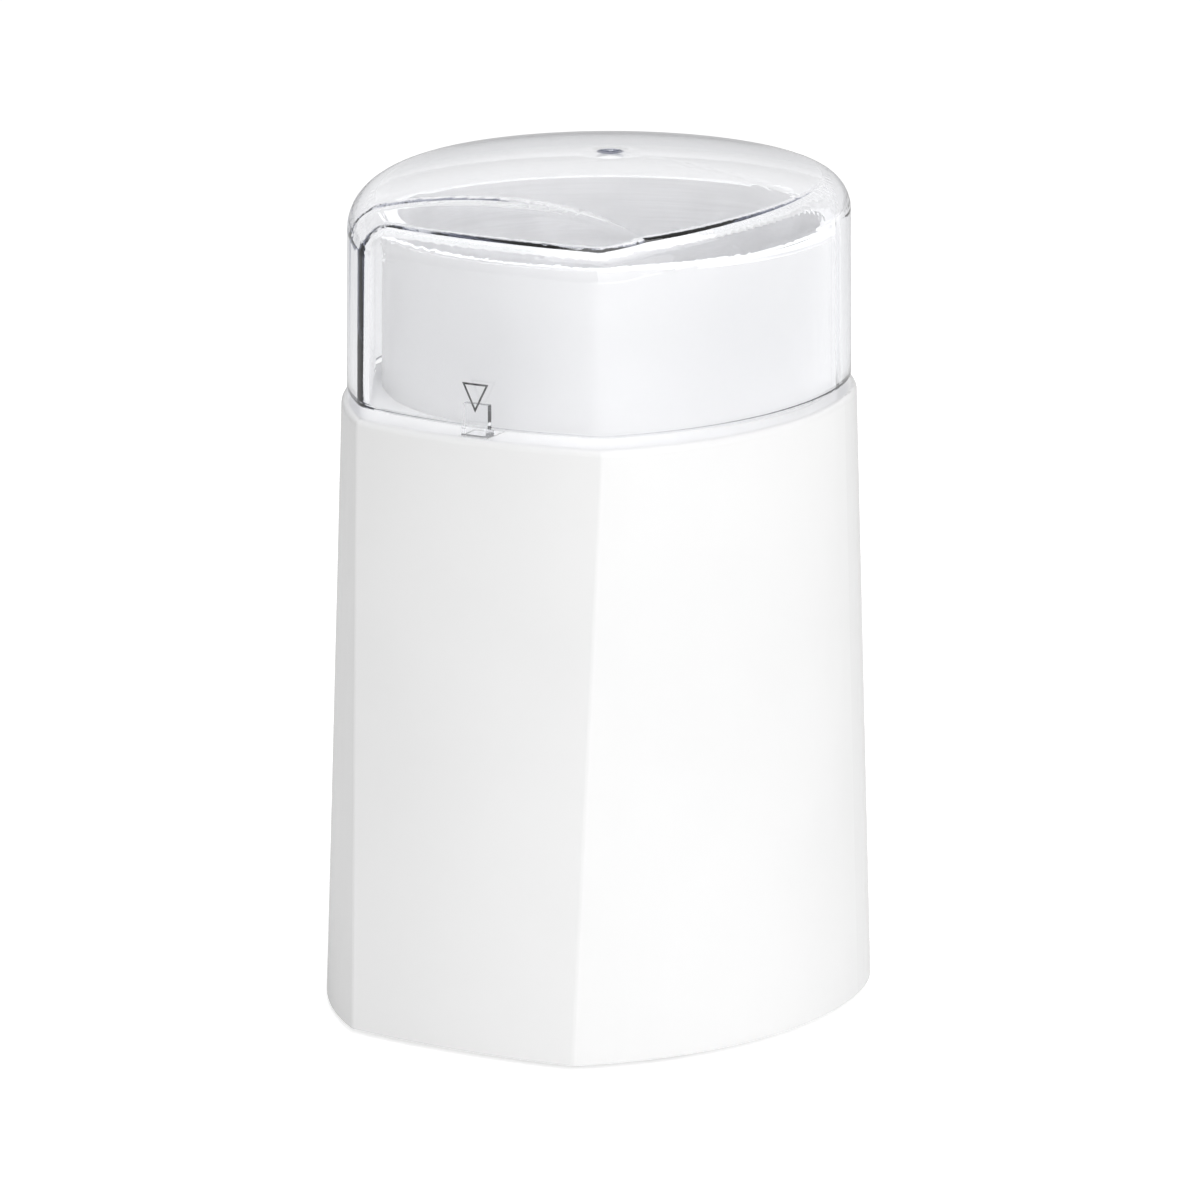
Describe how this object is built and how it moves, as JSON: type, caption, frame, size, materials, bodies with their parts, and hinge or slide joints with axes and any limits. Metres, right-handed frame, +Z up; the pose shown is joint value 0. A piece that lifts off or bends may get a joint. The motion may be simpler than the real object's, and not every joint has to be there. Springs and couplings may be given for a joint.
{
  "type": "electric coffee grinder",
  "caption": "Compact electric blade coffee grinder with a tapering white body, a steel bowl and a clear domed lid that is pressed down to run it.",
  "frame": {"origin": "middle of the bounding box on the table plane, under the four feet", "axes": "+Z up, the nose with its facet and the lid tab towards -Y, +X to the right seen from the front"},
  "size_m": [0.0974, 0.106, 0.156],
  "materials": {
    "clear_plastic": "clear polished plastic",
    "white_plastic": "gloss white moulding",
    "base_plastic": "fine matt white moulding",
    "bowl_steel": "polished stainless steel",
    "blade_steel": "ground stainless steel",
    "zinc_steel": "zinc plated steel",
    "core_steel": "varnished laminated steel",
    "brass": "plain brass",
    "copper": "enamelled copper",
    "grey_rubber": "soft matt rubber",
    "white_rubber": "soft matt rubber",
    "black_plastic": "matt black plastic",
    "red_plastic": "matt red plastic",
    "wire_sleeve": "flexible wire sleeve",
    "carbon": "pressed carbon"
  },
  "bodies": {
    "base": {"main_housing": "white_plastic", "bowl_well": "white_plastic", "grinding_bowl": "bowl_steel", "shaft_seal": "grey_rubber", "base_plate": "base_plastic", "base_screws": "zinc_steel", "rubber_feet": "grey_rubber", "cord_gland": "white_rubber", "switch_bracket": "base_plastic", "bracket_screws": "zinc_steel", "switch_case": "black_plastic", "switch_screws": "zinc_steel", "switch_terminals": "brass", "lever_pin": "zinc_steel", "plunger_spring": "zinc_steel", "upper_bracket": "zinc_steel", "lower_bracket": "zinc_steel", "upper_bearing": "brass", "lower_bearing": "brass", "motor_isolators": "grey_rubber", "mount_screws": "zinc_steel", "stator_core": "core_steel", "field_coils": "copper", "brush_holders": "black_plastic", "carbon_brushes": "carbon", "brush_springs": "zinc_steel", "lead_wires": "wire_sleeve", "motor_bolts": "zinc_steel", "motor_nuts": "zinc_steel"},
    "rotor": {"motor_shaft": "zinc_steel", "armature_core": "core_steel", "armature_windings": "copper", "commutator": "copper", "cooling_fan": "black_plastic", "thrust_washers": "zinc_steel", "blade_hub": "brass", "blade": "blade_steel", "blade_nut": "blade_steel"},
    "plunger": {"switch_plunger": "white_plastic"},
    "lid": {"lid": "clear_plastic"},
    "lever": {"switch_lever": "zinc_steel"},
    "button": {"switch_button": "red_plastic"}
  },
  "joints": [
    {"name": "lid_press", "type": "slide", "parent": "base", "child": "plunger", "axis": [0, 0, -1], "range_m": [0, 0.0016], "stiffness_N_per_m": 1500, "springref_m": -0.002, "deforming": ["plunger_spring"]},
    {"name": "lid_lift", "type": "slide", "parent": "plunger", "child": "lid", "axis": [0, 0, 1], "range_m": [0, 0.06]},
    {"name": "rotor_spin", "type": "hinge", "parent": "base", "child": "rotor", "pos_m": [0, 0.00445, 0.061], "axis": [0, 0, 1], "continuous": true},
    {"name": "switch_lever_tilt", "type": "hinge", "parent": "base", "child": "lever", "pos_m": [0.0086, -0.04105, 0.1005], "axis": [0, -1, 0], "range_deg": [0, 10.34]},
    {"name": "switch_button_press", "type": "slide", "parent": "base", "child": "button", "axis": [0, 0, -1], "range_m": [0, 0.0006]}
  ],
  "couplings": [
    {"joint": "switch_lever_tilt", "follows": "lid_press", "rad_per_m": 112.7},
    {"joint": "switch_button_press", "follows": "lid_press", "ratio": 0.37}
  ]
}
